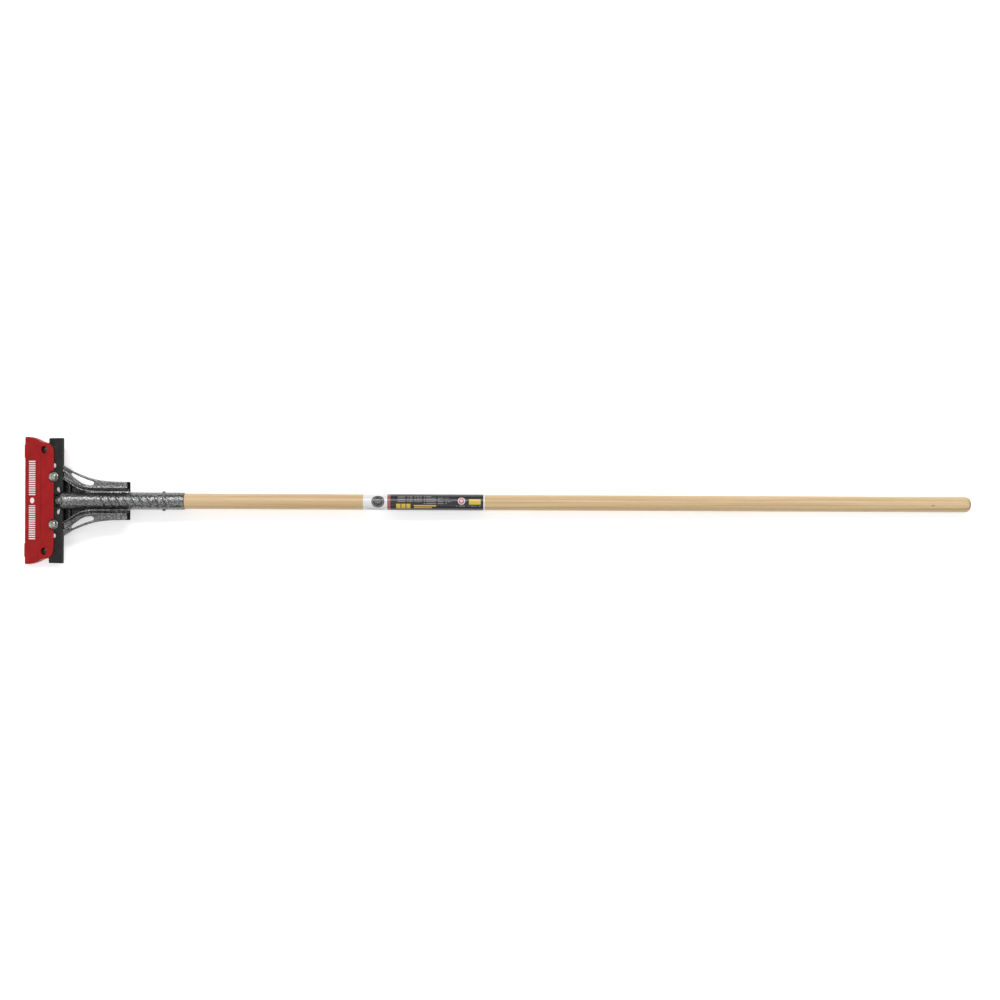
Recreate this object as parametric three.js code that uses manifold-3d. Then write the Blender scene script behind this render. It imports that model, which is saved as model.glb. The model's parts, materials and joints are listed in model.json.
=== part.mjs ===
// Long-handled floor scraper, lying on the ground blade down, with its handle along +X.
//
// Tool frame: x along the handle from the line of the blade bolts, z from the socket tube's axis.
// Head frame: on the clamp bar's upper face at the bolt line, pitched so that the blade is level.
// In it u = x runs back from the blade's edge and w = z rises from the clamp bar.
// The tool leans by the small angle at which the guard and the handle's end both touch the ground,
// and the origin is the middle of the footprint. Lengths are in millimetres.

import * as THREE from "three";
import { mergeVertices } from "three/addons/utils/BufferGeometryUtils.js";
import Module from "manifold-3d";

const wasm = await Module();
wasm.setup();

// ---------------------------------------------------------------- driving dimensions
const GAP = 0.3; // clearance kept between touching pieces
const SIDES = [1, -1]; // left (+Y) and right (-Y)
const SIDE_NAME = { 1: "left", [-1]: "right" };

const HEAD_PITCH = THREE.MathUtils.degToRad(20);
const AXIS_RISE = 6; // tube axis above the clamp bar at the bolt line
const HEAD_HALF_WIDTH = 101.6; // 8 inch head

const HANDLE_RADIUS = 12.7; // 1 inch ash handle
const HANDLE_LENGTH = 1372; // 54 inch
const TENON_RADIUS = 11.1;
const TENON_LENGTH = 94;
const TENON_CHAMFER = 2;
const HANDLE_ROUND = 9;
const SHOULDER_BREAK = 0.6;
const BUTT_RADIUS = 4.5; // small flat in the middle of the rounded end

const TUBE_RADIUS = 14.1;
const TUBE_FRONT_X = 13.4;
const TUBE_END_X = 212.4;
const CORE_RADIUS = 9;
const CORE_FRONT_X = 45;
const HANDLE_START_X = TUBE_END_X - TENON_LENGTH;
const HANDLE_END_X = HANDLE_START_X + HANDLE_LENGTH;

const RIVET_X = 178.9;
const RIVET_SHANK = 2.4;
const RIVET_HEAD = 3.2;
const RIVET_HEAD_HEIGHT = 1.6;

const LABEL_START_X = 501.7;
const LABEL_END_X = 698.4;
const LABEL_GAP = 0.15;
const LABEL_THICKNESS = 0.25;

const WING_HALF_DEPTH = 12;
const WING_FRONT_X = 14.6;
const WING_END_X = 122.3;
const POCKET_FLOOR = -9; // top of the low web beside the tube
const VALLEY_FLOOR = -2; // top of the web between a wing and its inner rib
const ARCH_TOP = -3.6; // underside of the wing round its window
const BEAD_WIDTH = 2.2; // raised bead along the wing's inner edge
const BEAD_RISE = 1.2;
const INNER_RIB_TOP = 5;
const INNER_RIB_WIDTH = 2.8;

const RELIEF_FROM_X = 84;
const RELIEF_TO_X = 184;
const RELIEF_COUNT = 9;
const RELIEF_RAISED = 0.9;

const BAR_FRONT = -11.5;
const BAR_REAR = 15.8;
const BAR_THICKNESS = 5;
const BLADE_THICKNESS = 2;
const BLADE_TOP = -BAR_THICKNESS - GAP;
const BLADE_BOTTOM = BLADE_TOP - BLADE_THICKNESS;
const BLADE_EDGE = -56;
const BLADE_HEEL = 6.2;
const BLADE_GRIND_BACK = -47;
const BLADE_NECK_HALF_WIDTH = 76;
const FLANGE_TOP = BLADE_BOTTOM - GAP;
const FLANGE_THICKNESS = 7;
const FLANGE_BOTTOM = FLANGE_TOP - FLANGE_THICKNESS;
const FLANGE_FRONT = -9.5;
const DRAIN_FRONT_U = -3.5; // below the drains the blade is cut away from here back
const DRAIN_REAR_U = 6.5; // and the flange forward of here
const DRAIN_FROM_Y = 11.4;
const DRAIN_TO_Y = 25;
const NOSE_RADII = [11, 9.3, 9.8];
const NOSE_CENTRE = [8, 0, -7];

const BOLT_Y = 38.8;
const SPARE_HOLE_U = -0.8;
const SPARE_HOLE_Y = 57;
const SPARE_HOLE_RADIUS = 3.9;
const SPARE_SLOT = 4.6; // half width of the blade's slots below the spare holes
const SPARE_SLOT_U = -3.2;
const BOLT_RADIUS = 3.1;
const BOLT_HOLE = BOLT_RADIUS + 0.4;
const HEX_ACROSS_FLATS = 11.1;
const HEX_HEAD_HEIGHT = 4.8;
const HEX_CHAMFER_HEIGHT = 0.9;
const HEX_CHAMFER_WIDTH = 1.5;
const NUT_HEIGHT = 5;
const NUT_COLLAR_HEIGHT = 1.8;
const NUT_COLLAR_RADIUS = 5.2;
const BOLT_PAST_NUT = 0.8;
const INSERT_RADIUS = 4.2;
const WASHER_RADIUS = 7.9;
const WASHER_THICKNESS = 1.6;

const GUARD_SKIN = 2;
const GUARD_LIP = 1.5; // walls along the front edge
const GUARD_FRONT = -58.5;
const GUARD_REAR = 0.3;
const GUARD_LOWER_REAR = -12.5;
const GUARD_WALL_REAR = -12.3;
const GUARD_CREASE = -23;
const GUARD_PLATEAU_TOP = 2.6;
const GUARD_FRONT_TOP = -3;
const GUARD_SEAM = -6.3; // height at which the two halves meet
const GUARD_UNDER_TOP = BLADE_BOTTOM - 0.4;
const GUARD_UNDER_BOTTOM = GUARD_UNDER_TOP - GUARD_SKIN;
const NOTCH_RADIUS = 9.2;

const HINGE_U = -60;
const STRAP_FROM_Y = 70;
const STRAP_TO_Y = 92;
const STRAP_OUTER = 1.5;
const STRAP_INNER = 0.7;

const STUD_U = -18.6;
const STUD_Y = 82.6;
const STUD_HEAD = 5.5;
const STUD_SHANK = 2.2;
const STUD_HEAD_HEIGHT = 3;
const STUD_RIM = 0.6;
const STUD_CLEARANCE = 0.5;
const STUD_TIP = -10.2;
const CUP_RADIUS = 6.8;
const CUP_BOTTOM = -3.6;
const CUP_FLOOR = 1.4;

const ROUND = 48; // facets round a large cylinder
const SMALL_ROUND = 24;
const CUT = 10; // reach of a cut past the head's plates

// ---------------------------------------------------------------- materials
const paint = (name, color, roughness, metalness) =>
  new THREE.MeshStandardMaterial({ name, color, roughness, metalness });

const HAMMERTONE = paint("hammertone_grey", 0x6c6e70, 0.45, 0.6);
const BLACK_PAINT = paint("holder_black", 0x222324, 0.55, 0.3);
const BLADE_STEEL = paint("blade_steel", 0xb8bbbf, 0.3, 1);
const ZINC = paint("fastener_zinc", 0xb4b1a8, 0.35, 1);
const NYLON = paint("nylon_insert", 0xd8d8d2, 0.6, 0);
const RED_PLASTIC = paint("guard_red", 0xb01f24, 0.4, 0);
const BLACK_PLASTIC = paint("stud_black", 0x111111, 0.25, 0);
const ASH = paint("ash_wood", 0xd2b184, 0.45, 0);
const LABEL_FILM = paint("label_film", 0x2c2d33, 0.35, 0);

// ---------------------------------------------------------------- solids
function solid(geometry) {
  const bare = geometry.index ? geometry.toNonIndexed() : geometry.clone();
  bare.deleteAttribute("normal");
  bare.deleteAttribute("uv");
  const merged = mergeVertices(bare, 1e-4);
  return new wasm.Manifold(
    new wasm.Mesh({
      numProp: 3,
      vertProperties: new Float32Array(merged.attributes.position.array),
      triVerts: new Uint32Array(merged.index.array),
    }),
  );
}

function geometryOf(shape) {
  const made = shape.getMesh();
  return new THREE.BufferGeometry()
    .setAttribute("position", new THREE.BufferAttribute(made.vertProperties, 3))
    .setIndex(new THREE.BufferAttribute(made.triVerts, 1));
}

function piece(name, shape, material) {
  const geometry = geometryOf(shape);
  geometry.computeVertexNormals();
  const made = new THREE.Mesh(geometry, material);
  made.name = name;
  return made;
}

// A plan outline in x and y, made into a plate between two heights.
function plateGeometry(shape, low, high) {
  const geometry = new THREE.ExtrudeGeometry(shape, {
    depth: high - low,
    bevelEnabled: false,
    curveSegments: 10,
  });
  return geometry.translate(0, 0, low);
}

const plate = (shape, low, high) => solid(plateGeometry(shape, low, high));

// A side profile in x and z, made into a bar between two widths.
function bar(points, fromY, toY) {
  const shape = new THREE.Shape(points.map(([x, z]) => new THREE.Vector2(x, z)));
  const geometry = new THREE.ExtrudeGeometry(shape, { depth: toY - fromY, bevelEnabled: false });
  return solid(geometry.rotateX(Math.PI / 2).translate(0, toY, 0));
}

function box(fromX, toX, fromY, toY, fromZ, toZ) {
  const geometry = new THREE.BoxGeometry(toX - fromX, toY - fromY, toZ - fromZ);
  return solid(
    geometry.translate((fromX + toX) / 2, (fromY + toY) / 2, (fromZ + toZ) / 2),
  );
}

// An upright cylinder, or a hexagon where sides is 6.
function upright(x, y, radius, low, high, sides = SMALL_ROUND) {
  const geometry = new THREE.CylinderGeometry(radius, radius, high - low, sides);
  return solid(geometry.rotateX(Math.PI / 2).translate(x, y, (low + high) / 2));
}

// A profile of [position, radius] turned about the z axis, from the lowest position up.
function turnedZ(profile, sides = SMALL_ROUND) {
  const points = profile.map(([at, radius]) => new THREE.Vector2(radius, at));
  return solid(new THREE.LatheGeometry(points, sides).rotateX(Math.PI / 2));
}

// The same about the x axis.
function turnedX(profile, sides = ROUND) {
  const points = profile.map(([at, radius]) => new THREE.Vector2(radius, at));
  return solid(new THREE.LatheGeometry(points, sides).rotateZ(-Math.PI / 2));
}

// [position, radius] points of a quarter round that ends a bar.
function roundedEnd(from, length, outer, inner, steps = 6) {
  return Array.from({ length: steps + 1 }, (_, i) => {
    const angle = ((i / steps) * Math.PI) / 2;
    return [from + length * Math.sin(angle), inner + (outer - inner) * Math.cos(angle)];
  });
}

// A plan outline given as [x, y] points, mirrored to the side asked for.
function outline(points, side = 1) {
  const placed = points.map(([x, y]) => new THREE.Vector2(x, y * side));
  return new THREE.Shape(side > 0 ? placed : placed.reverse());
}

// Points of a smooth curve through a few [x, y] points.
function smooth(points, steps = 18) {
  const curve = new THREE.CatmullRomCurve3(
    points.map(([x, y]) => new THREE.Vector3(x, y, 0)),
    false,
    "centripetal",
  );
  return curve.getPoints(steps).map((p) => [p.x, p.y]);
}

// ---------------------------------------------------------------- frames
const toolFrame = new THREE.Group();
const headFrame = new THREE.Group();
headFrame.position.z = -AXIS_RISE;
headFrame.rotation.y = -HEAD_PITCH;
headFrame.updateMatrix();
toolFrame.add(headFrame);

// A solid drawn in the head frame, for joining to one drawn in the tool frame.
const fromHead = (geometry) => solid(geometry.applyMatrix4(headFrame.matrix));

const mirroredPlan = (half) => outline([...half, ...[...half].reverse().map(([x, y]) => [x, -y])]);

// ---------------------------------------------------------------- handle, label and rivet
function rivetHole() {
  const geometry = new THREE.CylinderGeometry(RIVET_SHANK + GAP, RIVET_SHANK + GAP, 60, SMALL_ROUND);
  return solid(geometry.translate(RIVET_X, 0, 0));
}

// Ash handle: a tenon turned down to enter the socket, a shoulder, and a rounded far end.
function handle() {
  const shoulderX = TUBE_END_X + GAP;
  const turned = turnedX([
    [HANDLE_START_X, 0],
    [HANDLE_START_X, TENON_RADIUS - TENON_CHAMFER],
    [HANDLE_START_X + TENON_CHAMFER, TENON_RADIUS],
    [shoulderX, TENON_RADIUS],
    [shoulderX, HANDLE_RADIUS - SHOULDER_BREAK],
    [shoulderX + SHOULDER_BREAK, HANDLE_RADIUS],
    ...roundedEnd(HANDLE_END_X - HANDLE_ROUND, HANDLE_ROUND, HANDLE_RADIUS, BUTT_RADIUS),
    [HANDLE_END_X, 0],
  ]);
  return turned.subtract(rivetHole());
}

// Cross rivet through socket and tenon, with a low dome at each end.
function handleRivet() {
  const seat = TUBE_RADIUS + GAP;
  const dome = roundedEnd(seat, RIVET_HEAD_HEIGHT, RIVET_HEAD, 1, 4);
  const half = [[seat, RIVET_SHANK], ...dome, [seat + RIVET_HEAD_HEIGHT, 0]];
  const profile = [...half.map(([at, radius]) => [-at, radius]).reverse(), ...half];
  const points = profile.map(([at, radius]) => new THREE.Vector2(radius, at));
  return solid(new THREE.LatheGeometry(points, SMALL_ROUND).translate(RIVET_X, 0, 0));
}

function label() {
  const inner = HANDLE_RADIUS + LABEL_GAP;
  const outer = inner + LABEL_THICKNESS;
  return turnedX([
    [LABEL_START_X, inner],
    [LABEL_START_X, outer],
    [LABEL_END_X, outer],
    [LABEL_END_X, inner],
    [LABEL_START_X, inner],
  ]);
}

// ---------------------------------------------------------------- socket casting
function socketTube() {
  const frontRound = 5;
  const front = roundedEnd(0, frontRound, TUBE_RADIUS, 9)
    .map(([at, radius]) => [TUBE_FRONT_X + frontRound - at, radius])
    .reverse();
  return turnedX([
    [TUBE_FRONT_X, 0],
    ...front,
    [TUBE_END_X, TUBE_RADIUS],
    [TUBE_END_X, 0],
  ]);
}

// Slanted raised ribs cast into the top of the tube.
function reliefRibs() {
  const width = 3.4;
  const reach = 9.5;
  const slant = THREE.MathUtils.degToRad(28);
  const pitch = (RELIEF_TO_X - RELIEF_FROM_X) / (RELIEF_COUNT - 1);
  const ribs = Array.from({ length: RELIEF_COUNT }, (_, i) => {
    const geometry = new THREE.BoxGeometry(width, 2 * reach, 20).rotateZ(slant);
    return solid(geometry.translate(RELIEF_FROM_X + i * pitch, 0, 15));
  });
  const skin = turnedX([
    [RELIEF_FROM_X - 20, 0],
    [RELIEF_FROM_X - 20, TUBE_RADIUS + RELIEF_RAISED],
    [RELIEF_TO_X + 20, TUBE_RADIUS + RELIEF_RAISED],
    [RELIEF_TO_X + 20, 0],
  ]);
  return ribs.reduce((all, rib) => all.add(rib)).intersect(skin);
}

// Plan curves of the wing on the +Y side: outer edge, inner edge, and a lower rib inside it.
const WING_OUTER = smooth([
  [WING_FRONT_X, 57.6],
  [24, 52.4],
  [33.2, 47.6],
  [55.9, 38.6],
  [70, 34.6],
  [84, 32.4],
  [102, 31.3],
  [WING_END_X, 31],
]);
const WING_INNER = smooth([
  [WING_FRONT_X, 48],
  [26, 40.2],
  [35.7, 31.6],
  [45, 25],
  [54, 21.4],
  [72, 20],
  [WING_END_X, 20],
]);
const INNER_RIB = smooth([
  [WING_FRONT_X, 35],
  [27.7, 27.4],
  [36.7, 21.4],
  [46.7, 16.8],
  [56, 15],
  [80, 13.9],
  [WING_END_X, 13.6],
]);
const WING_WINDOW = [
  ...smooth([[27.8, 43], [31, 39.6], [38.6, 33.9], [45.6, 29.1], [52.6, 26.3], [61, 25]], 12),
  ...smooth([[64.6, 25.2], [67.6, 26.8], [68.4, 29.4]], 5),
  ...smooth([[66.8, 31.2], [58, 33.9], [48, 37.8], [37.6, 42.4], [33, 44.4]], 8),
  ...smooth([[30.8, 45.2], [28.4, 44.6]], 2),
];

// Side profile of a wing, whose top sweeps down to the head.
function sweep(drop) {
  const top = [
    [WING_END_X + 1, WING_HALF_DEPTH],
    [54, WING_HALF_DEPTH],
    [44, 11],
    [34, 8.2],
    [25, 4.4],
    [WING_FRONT_X - 1, 0.4],
  ].map(([x, z]) => [x, z - drop]);
  const low = -WING_HALF_DEPTH - 1;
  return bar([[WING_FRONT_X - 1, low], [WING_END_X + 1, low], ...top], -HEAD_HALF_WIDTH, HEAD_HALF_WIDTH);
}

// One wing: a deep windowed arm, arched underneath, with a bead along its inner edge, a lower rib
// inside it, and thin webs between them and across to the tube.
function wing(side) {
  const between = (outer, inner, top) =>
    plate(outline([...outer, ...[...inner].reverse()], side), -WING_HALF_DEPTH, top);
  const raised = (curve, width) => curve.map(([x, y]) => [x, y + width]);
  const axisLine = [[WING_FRONT_X, 0], [WING_END_X, 0]];
  const ribOuter = raised(INNER_RIB, INNER_RIB_WIDTH);
  const arch = bar(
    [
      [24, -WING_HALF_DEPTH - 1],
      [84, -WING_HALF_DEPTH - 1],
      [74, ARCH_TOP],
      [32, ARCH_TOP],
    ],
    -HEAD_HALF_WIDTH,
    HEAD_HALF_WIDTH,
  );
  const arm = between(WING_OUTER, WING_INNER, WING_HALF_DEPTH).intersect(sweep(BEAD_RISE));
  const bead = between(raised(WING_INNER, BEAD_WIDTH), WING_INNER, WING_HALF_DEPTH);
  return arm
    .add(bead.intersect(sweep(0)))
    .subtract(arch)
    .add(between(WING_INNER, ribOuter, VALLEY_FLOOR))
    .add(between(ribOuter, INNER_RIB, INNER_RIB_TOP))
    .add(between(INNER_RIB, axisLine, POCKET_FLOOR))
    .intersect(sweep(0))
    .subtract(plate(outline(WING_WINDOW, side), -30, 30));
}

// Drain opening beside the nose: round at its outer end, with its point towards the nose.
function teardrop(side) {
  const [centreU, centreY] = [6.2, 18.5];
  const radius = 3.9;
  const tip = [11.1, 12.4];
  const round = Array.from({ length: 14 }, (_, i) => {
    const angle = THREE.MathUtils.degToRad((248 * i) / 13);
    return [centreU + radius * Math.cos(angle), centreY + radius * Math.sin(angle)];
  });
  return outline([tip, ...round], side);
}

function boltHoleGeometry(side) {
  const geometry = new THREE.CylinderGeometry(BOLT_HOLE, BOLT_HOLE, 40, SMALL_ROUND);
  return geometry.rotateX(Math.PI / 2).translate(0, side * BOLT_Y, 0);
}

// The casting: tube, wings, a pitched flange that backs the blade, and a blunt nose that keys
// through the blade and the clamp bar.
function socketCasting() {
  const flange = mirroredPlan([
    [FLANGE_FRONT, 0],
    [FLANGE_FRONT, DRAIN_FROM_Y],
    [DRAIN_REAR_U, DRAIN_FROM_Y],
    [DRAIN_REAR_U, DRAIN_TO_Y],
    [FLANGE_FRONT, DRAIN_TO_Y],
    [FLANGE_FRONT, 46],
    [-6, 52],
    [2, 54],
    [14, 54],
    [20, 49],
    [25, 40],
    [25, 0],
  ]);
  const nose = new THREE.SphereGeometry(1, 24, 16).scale(...NOSE_RADII).translate(...NOSE_CENTRE);
  const [roomLength, roomWidth, roomHeight] = [60, 250, 40];
  const roomLow = FLANGE_TOP - 2;
  const headroom = new THREE.BoxGeometry(roomLength, roomWidth, roomHeight);
  headroom.translate(BAR_REAR + GAP - roomLength / 2, 0, roomLow + roomHeight / 2);
  let cast = wing(1).add(wing(-1)).subtract(fromHead(headroom));
  cast = cast.add(fromHead(plateGeometry(flange, FLANGE_BOTTOM, FLANGE_TOP))).add(fromHead(nose));
  const boreFloor = HANDLE_START_X - 3;
  const bore = turnedX([
    [CORE_FRONT_X, 0],
    [CORE_FRONT_X, CORE_RADIUS],
    [boreFloor, CORE_RADIUS],
    [boreFloor, TENON_RADIUS + GAP],
    [TUBE_END_X + 5, TENON_RADIUS + GAP],
    [TUBE_END_X + 5, 0],
  ]);
  cast = cast.add(socketTube()).add(reliefRibs()).subtract(bore).subtract(rivetHole());
  for (const side of SIDES) {
    cast = cast.subtract(fromHead(boltHoleGeometry(side)));
  }
  return cast;
}

// ---------------------------------------------------------------- clamp bar and blade
const NOSE_NOTCH = mirroredPlan([
  [-3.5, 0],
  [-3.5, 7],
  [0, 9.9],
  [12.4, 9.9],
  [13.4, 15],
  [40, 15],
  [40, 0],
]);

function clampBar() {
  const edgeBreak = 0.8;
  const section = bar(
    [
      [BAR_FRONT, -BAR_THICKNESS],
      [BAR_REAR, -BAR_THICKNESS],
      [BAR_REAR, -edgeBreak],
      [BAR_REAR - edgeBreak, 0],
      [BAR_FRONT + 2.4, 0],
      [BAR_FRONT + edgeBreak, -edgeBreak],
      [BAR_FRONT, -2.4],
    ],
    -HEAD_HALF_WIDTH,
    HEAD_HALF_WIDTH,
  );
  const corner = 2.2;
  const plan = mirroredPlan([
    [BAR_FRONT, 0],
    [BAR_FRONT, HEAD_HALF_WIDTH - corner],
    [BAR_FRONT + corner, HEAD_HALF_WIDTH],
    [BAR_REAR - edgeBreak, HEAD_HALF_WIDTH],
    [BAR_REAR, HEAD_HALF_WIDTH - edgeBreak],
    [BAR_REAR, 0],
  ]);
  let cut = section.intersect(plate(plan, -CUT, CUT)).subtract(plate(NOSE_NOTCH, -CUT, CUT));
  for (const side of SIDES) {
    cut = cut
      .subtract(upright(0, side * BOLT_Y, BOLT_HOLE, -CUT, CUT))
      .subtract(upright(SPARE_HOLE_U, side * SPARE_HOLE_Y, SPARE_HOLE_RADIUS, -CUT, CUT))
      .subtract(plate(teardrop(side), -CUT, CUT));
  }
  return cut;
}

// Blade: flared cutting edge with a ground bevel, and a narrower neck under the clamp bar.
function blade() {
  const edgeLand = 0.25;
  const halfFlare = HEAD_HALF_WIDTH - 0.7;
  const section = bar(
    [
      [BLADE_EDGE, BLADE_BOTTOM],
      [BLADE_HEEL, BLADE_BOTTOM],
      [BLADE_HEEL, BLADE_TOP],
      [BLADE_GRIND_BACK, BLADE_TOP],
      [BLADE_EDGE, BLADE_BOTTOM + edgeLand],
    ],
    -HEAD_HALF_WIDTH,
    HEAD_HALF_WIDTH,
  );
  const plan = mirroredPlan([
    [BLADE_HEEL, 0],
    [BLADE_HEEL, BLADE_NECK_HALF_WIDTH - 3],
    [BLADE_HEEL - 3, BLADE_NECK_HALF_WIDTH],
    ...smooth([[-36, BLADE_NECK_HALF_WIDTH], [-41, 80], [-46, 94], [-51, halfFlare]], 8),
    [BLADE_EDGE, halfFlare],
    [BLADE_EDGE, 0],
  ]);
  let cut = section
    .intersect(plate(plan, -CUT, 0))
    .subtract(box(DRAIN_FRONT_U, 20, -DRAIN_TO_Y, DRAIN_TO_Y, -CUT, 0));
  for (const side of SIDES) {
    const slotY = side * SPARE_HOLE_Y;
    cut = cut
      .subtract(upright(0, side * BOLT_Y, BOLT_HOLE, -CUT, 0))
      .subtract(upright(SPARE_SLOT_U, slotY, SPARE_SLOT, -CUT, 0))
      .subtract(box(SPARE_SLOT_U, 20, slotY - SPARE_SLOT, slotY + SPARE_SLOT, -CUT, 0));
  }
  return cut;
}

// ---------------------------------------------------------------- fasteners
const HEX_RADIUS = HEX_ACROSS_FLATS / Math.sqrt(3);
const TOP_WASHER_LOW = GAP;
const HEX_LOW = TOP_WASHER_LOW + WASHER_THICKNESS + GAP;
const UNDER_WASHER_HIGH = FLANGE_BOTTOM - GAP;
const NUT_HIGH = UNDER_WASHER_HIGH - WASHER_THICKNESS - GAP;
const NUT_LOW = NUT_HIGH - NUT_HEIGHT;
const BOLT_TIP = NUT_LOW - NUT_COLLAR_HEIGHT - BOLT_PAST_NUT;

// Bolt with a hexagon head whose corners are turned off by a shallow cone.
function bolt(side) {
  const y = side * BOLT_Y;
  const top = HEX_LOW + HEX_HEAD_HEIGHT;
  const cone = turnedZ([
    [HEX_LOW, 0],
    [HEX_LOW, HEX_RADIUS + 1],
    [top - HEX_CHAMFER_HEIGHT, HEX_RADIUS],
    [top, HEX_RADIUS - HEX_CHAMFER_WIDTH],
    [top, 0],
  ]);
  return upright(0, y, HEX_RADIUS, HEX_LOW, top, 6)
    .intersect(cone.translate([0, y, 0]))
    .add(upright(0, y, BOLT_RADIUS, BOLT_TIP, HEX_LOW + 1));
}

function washer(side, low) {
  return upright(0, side * BOLT_Y, WASHER_RADIUS, low, low + WASHER_THICKNESS).subtract(
    upright(0, side * BOLT_Y, BOLT_HOLE, low - 1, low + WASHER_THICKNESS + 1),
  );
}

// Lock nut: hexagon with a round collar below that holds the nylon insert.
function lockNut(side) {
  const y = side * BOLT_Y;
  const collarLow = NUT_LOW - NUT_COLLAR_HEIGHT;
  return upright(0, y, HEX_RADIUS, NUT_LOW, NUT_HIGH, 6)
    .add(upright(0, y, NUT_COLLAR_RADIUS, collarLow, NUT_LOW + 1))
    .subtract(upright(0, y, BOLT_HOLE, BOLT_TIP - 5, 0))
    .subtract(upright(0, y, INSERT_RADIUS + GAP, collarLow - 1, NUT_LOW + 0.3));
}

function nutInsert(side) {
  const y = side * BOLT_Y;
  const low = NUT_LOW - NUT_COLLAR_HEIGHT;
  return upright(0, y, INSERT_RADIUS, low, NUT_LOW).subtract(
    upright(0, y, BOLT_RADIUS + GAP, low - 1, NUT_LOW + 1),
  );
}

// ---------------------------------------------------------------- guard
const GUARD_HALF_OUTLINE = [
  [GUARD_FRONT, 0],
  [GUARD_FRONT, 103],
  [GUARD_FRONT + 1, 104],
  ...smooth([[-50, 104], [-41, 102.6], [-32, 99.6], [-25, 96.4], [-18, 94.2]], 10),
  ...smooth([[-14, 93.9], [-9.6, 93.2], [-5.2, 90.6], [-2.2, 87], [-0.5, 82.6], [GUARD_REAR, 77]], 10),
  [GUARD_REAR, 0],
];

// Upper half: a sloping skin with a level plateau over the clamp bar, and a wall round its front
// and sides. It opens about the hinge line at its front edge.
function guardUpper() {
  const wallBottom = GUARD_UNDER_TOP + GAP;
  const skinLine = (drop, rear) => [
    [GUARD_FRONT, GUARD_FRONT_TOP - drop],
    [GUARD_CREASE, GUARD_PLATEAU_TOP - drop],
    [rear, GUARD_PLATEAU_TOP - drop],
  ];
  const below = (line) => bar([...line, [line[2][0], -30], [GUARD_FRONT, -30]], -150, 150);
  const cavityPlan = mirroredPlan([
    [GUARD_FRONT + GUARD_LIP, 0],
    ...GUARD_HALF_OUTLINE.slice(1, -1)
      .filter(([u]) => u < GUARD_WALL_REAR)
      .map(([u, y]) => [Math.max(u, GUARD_FRONT + GUARD_LIP), y - GUARD_SKIN]),
    [30, 93],
    [30, 0],
  ]);
  const outer = plate(mirroredPlan(GUARD_HALF_OUTLINE), wallBottom, 20);
  const cavity = plate(cavityPlan, -40, 20).intersect(below(skinLine(GUARD_SKIN, 40)));
  const behind = box(GUARD_WALL_REAR, 20, -150, 150, -20, GUARD_PLATEAU_TOP - GUARD_SKIN);
  const mating = box(GUARD_FRONT - 1, GUARD_FRONT + 4, -102, 102, -20, GUARD_SEAM + GAP);
  let made = outer.intersect(below(skinLine(0, 20))).subtract(cavity).subtract(behind);
  made = made.subtract(mating);
  for (const side of SIDES) {
    const studY = side * STUD_Y;
    const cupInner = CUP_BOTTOM + CUP_FLOOR;
    made = made
      .subtract(upright(0, side * BOLT_Y, NOTCH_RADIUS, -5, 10))
      .add(upright(STUD_U, studY, CUP_RADIUS, CUP_BOTTOM, GUARD_PLATEAU_TOP - 0.05))
      .subtract(upright(STUD_U, studY, STUD_HEAD + STUD_CLEARANCE, cupInner, 10))
      .subtract(upright(STUD_U, studY, STUD_SHANK + STUD_CLEARANCE, -20, 10))
      .subtract(hingeRoom(side));
  }
  return made;
}

// Round clearance about the hinge line where a strap sits.
function hingeRoom(side) {
  const radius = STRAP_OUTER + GAP;
  const length = STRAP_TO_Y - STRAP_FROM_Y + 1;
  const geometry = new THREE.CylinderGeometry(radius, radius, length, SMALL_ROUND);
  return solid(geometry.translate(HINGE_U, (side * (STRAP_FROM_Y + STRAP_TO_Y)) / 2, GUARD_SEAM));
}

// Lower half: a flat skin under the blade with a lip in front of the cutting edge.
function guardLower() {
  const plan = mirroredPlan([
    ...GUARD_HALF_OUTLINE.slice(0, -1).filter(([u]) => u < GUARD_LOWER_REAR),
    [GUARD_LOWER_REAR, 92],
    [GUARD_LOWER_REAR, 0],
  ]);
  const lipHalf = HEAD_HALF_WIDTH;
  const lipBack = GUARD_FRONT + GUARD_LIP;
  const lip = box(GUARD_FRONT, lipBack, -lipHalf, lipHalf, GUARD_UNDER_TOP - 1, GUARD_SEAM - GAP);
  let made = plate(plan, GUARD_UNDER_BOTTOM, GUARD_UNDER_TOP).add(lip);
  for (const side of SIDES) {
    made = made
      .subtract(upright(STUD_U, side * STUD_Y, STUD_SHANK + 2 * STUD_CLEARANCE, -20, 0))
      .subtract(hingeRoom(side));
  }
  return made;
}

// Hinge strap: a thin band rolled about the hinge line, open towards the blade.
function hingeStrap(side) {
  const open = THREE.MathUtils.degToRad(50);
  const steps = 16;
  const arc = (radius) =>
    Array.from({ length: steps + 1 }, (_, i) => {
      const angle = open + ((2 * Math.PI - 2 * open) * i) / steps;
      return [HINGE_U + radius * Math.cos(angle), GUARD_SEAM + radius * Math.sin(angle)];
    });
  const [near, far] = [STRAP_FROM_Y, STRAP_TO_Y].map((y) => y * side);
  const band = [...arc(STRAP_OUTER), ...arc(STRAP_INNER).reverse()];
  return bar(band, Math.min(near, far), Math.max(near, far));
}

// Stud sunk in the upper half's cup. Its shank reaches down beside the blade into the lower half.
function snapStud(side) {
  const headLow = CUP_BOTTOM + CUP_FLOOR + GAP;
  return turnedZ([
    [STUD_TIP, 0],
    [STUD_TIP, STUD_SHANK - 0.7],
    [STUD_TIP + 1, STUD_SHANK],
    [headLow, STUD_SHANK],
    [headLow, STUD_HEAD],
    ...roundedEnd(headLow + STUD_RIM, STUD_HEAD_HEIGHT - STUD_RIM, STUD_HEAD, 0.8, 6),
    [headLow + STUD_HEAD_HEIGHT, 0],
  ]).translate([STUD_U, side * STUD_Y, 0]);
}

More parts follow.
